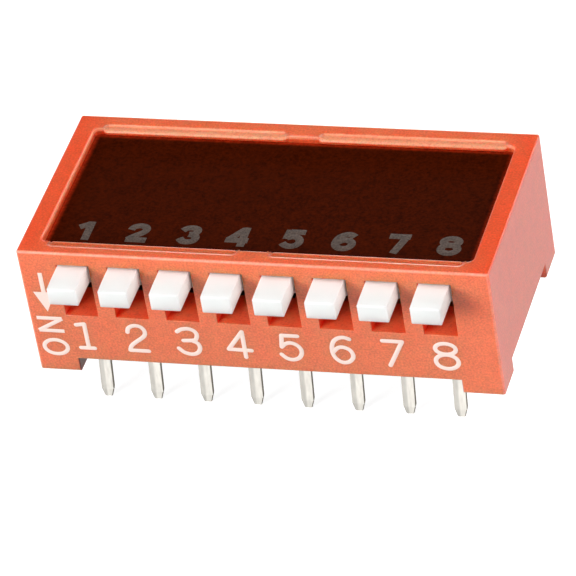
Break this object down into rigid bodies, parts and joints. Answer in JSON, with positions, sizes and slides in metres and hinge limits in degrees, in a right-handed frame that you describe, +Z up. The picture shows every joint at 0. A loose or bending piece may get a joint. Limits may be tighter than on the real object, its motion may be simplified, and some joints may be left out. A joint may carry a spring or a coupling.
{
  "type": "dip switch",
  "caption": "Side-operated DIP switch: moulded box with a row of small white levers in windows, a sunk dark cover plate and two rows of splayed pins.",
  "frame": {"origin": "centre of the pin grid, on the board surface that the four feet stand on", "axes": "+X along the row of levers from the first to the last, -Y out of the lever face, +Z up from the board"},
  "size_m": [0.0232, 0.0128, 0.0097],
  "materials": {
    "housing": "fine matte moulding",
    "cover": "satin moulding",
    "resin": "poured resin",
    "lever": "smooth moulding",
    "wiper": "gold plated",
    "terminal": "tin plated",
    "lever_print": "printed white ink",
    "plate_print": "printed grey ink"
  },
  "bodies": {
    "case": {"housing": "housing", "cover_plate": "cover", "sealing_resin": "resin", "front_terminal_1": "terminal", "front_terminal_2": "terminal", "front_terminal_3": "terminal", "front_terminal_4": "terminal", "front_terminal_5": "terminal", "front_terminal_6": "terminal", "front_terminal_7": "terminal", "front_terminal_8": "terminal", "back_terminal_1": "terminal", "back_terminal_2": "terminal", "back_terminal_3": "terminal", "back_terminal_4": "terminal", "back_terminal_5": "terminal", "back_terminal_6": "terminal", "back_terminal_7": "terminal", "back_terminal_8": "terminal"},
    "rocker_1": {"lever_1": "lever", "wiper_1": "wiper"},
    "rocker_2": {"lever_2": "lever", "wiper_2": "wiper"},
    "rocker_3": {"lever_3": "lever", "wiper_3": "wiper"},
    "rocker_4": {"lever_4": "lever", "wiper_4": "wiper"},
    "rocker_5": {"lever_5": "lever", "wiper_5": "wiper"},
    "rocker_6": {"lever_6": "lever", "wiper_6": "wiper"},
    "rocker_7": {"lever_7": "lever", "wiper_7": "wiper"},
    "rocker_8": {"lever_8": "lever", "wiper_8": "wiper"}
  },
  "joints": [
    {"name": "lever_1_swing", "type": "hinge", "parent": "case", "child": "rocker_1", "pos_m": [-0.00889, -0.001, 0.0052], "axis": [1, 0, 0], "range_deg": [0, 23]},
    {"name": "lever_2_swing", "type": "hinge", "parent": "case", "child": "rocker_2", "pos_m": [-0.00635, -0.001, 0.0052], "axis": [1, 0, 0], "range_deg": [0, 23]},
    {"name": "lever_3_swing", "type": "hinge", "parent": "case", "child": "rocker_3", "pos_m": [-0.00381, -0.001, 0.0052], "axis": [1, 0, 0], "range_deg": [0, 23]},
    {"name": "lever_4_swing", "type": "hinge", "parent": "case", "child": "rocker_4", "pos_m": [-0.00127, -0.001, 0.0052], "axis": [1, 0, 0], "range_deg": [0, 23]},
    {"name": "lever_5_swing", "type": "hinge", "parent": "case", "child": "rocker_5", "pos_m": [0.00127, -0.001, 0.0052], "axis": [1, 0, 0], "range_deg": [0, 23]},
    {"name": "lever_6_swing", "type": "hinge", "parent": "case", "child": "rocker_6", "pos_m": [0.00381, -0.001, 0.0052], "axis": [1, 0, 0], "range_deg": [0, 23]},
    {"name": "lever_7_swing", "type": "hinge", "parent": "case", "child": "rocker_7", "pos_m": [0.00635, -0.001, 0.0052], "axis": [1, 0, 0], "range_deg": [0, 23]},
    {"name": "lever_8_swing", "type": "hinge", "parent": "case", "child": "rocker_8", "pos_m": [0.00889, -0.001, 0.0052], "axis": [1, 0, 0], "range_deg": [0, 23]}
  ]
}
